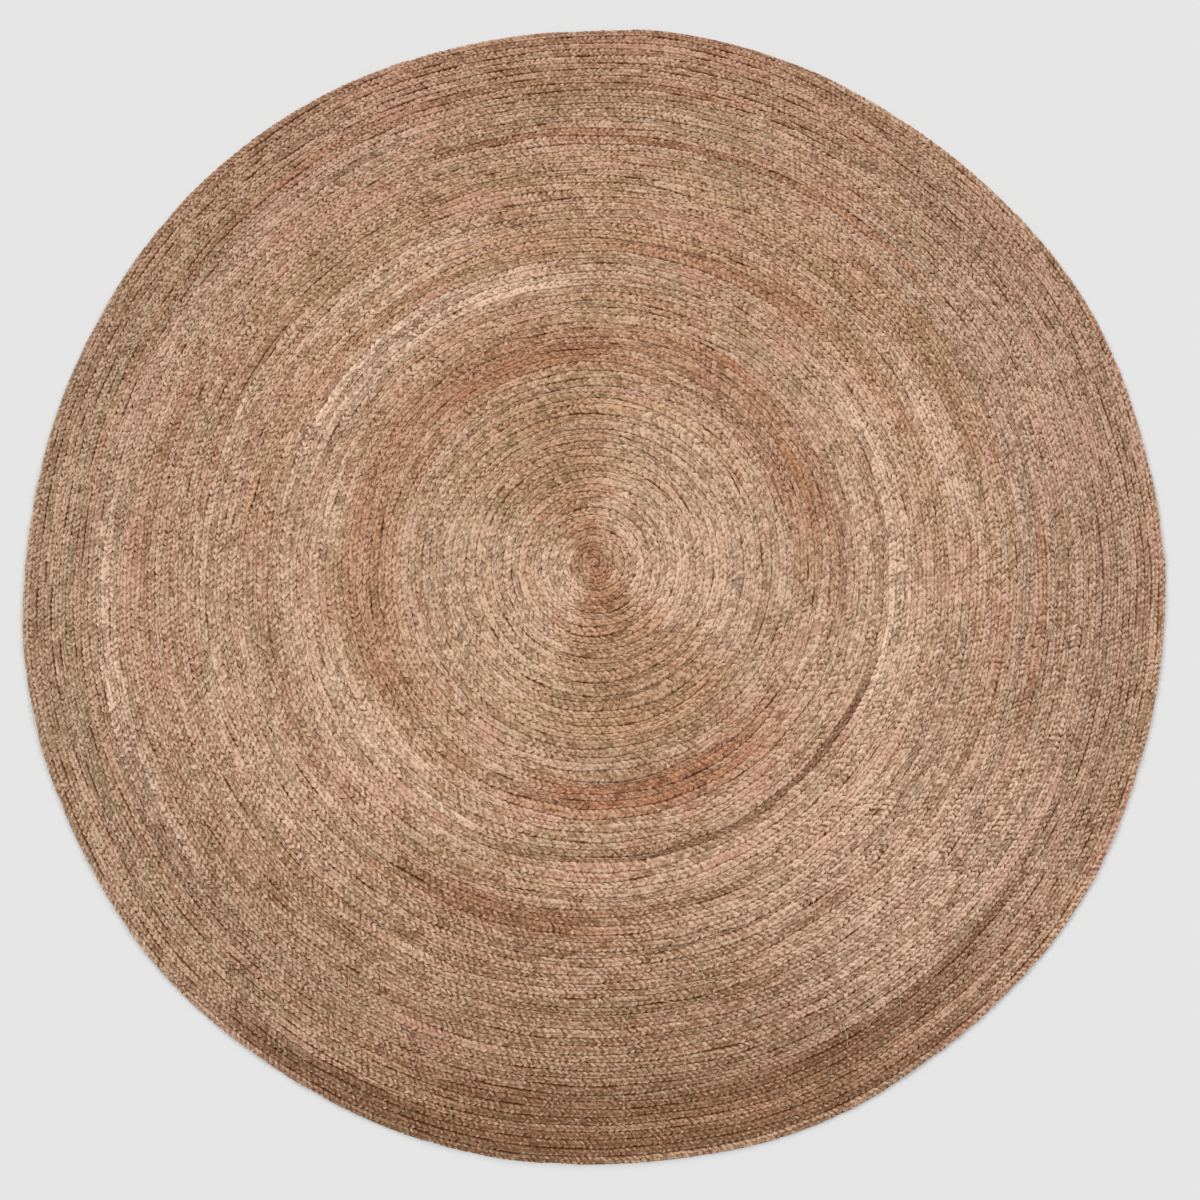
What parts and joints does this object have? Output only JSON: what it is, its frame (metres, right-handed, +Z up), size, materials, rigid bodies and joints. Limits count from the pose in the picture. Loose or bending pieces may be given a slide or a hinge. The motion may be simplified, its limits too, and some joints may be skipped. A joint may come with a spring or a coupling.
{
  "type": "round braided jute rug",
  "caption": "Round flat rug of one natural jute braid, wound in a spiral from the middle and sewn edge to edge, with low ribs and a rounded rim.",
  "frame": {"origin": "middle of the flat underside, at floor level, centred on the outline", "axes": "+Z is up, away from the floor; +Y points to the far edge as the picture sees it and +X to its right edge; the braid ends near +Y"},
  "size_m": [1.9918, 1.9968, 0.009],
  "materials": {
    "natural_jute": "matt braided jute, sandy tan with russet and straw streaks along the braid"
  },
  "bodies": {
    "root": {"braided_rug": "natural_jute"}
  },
  "joints": []
}
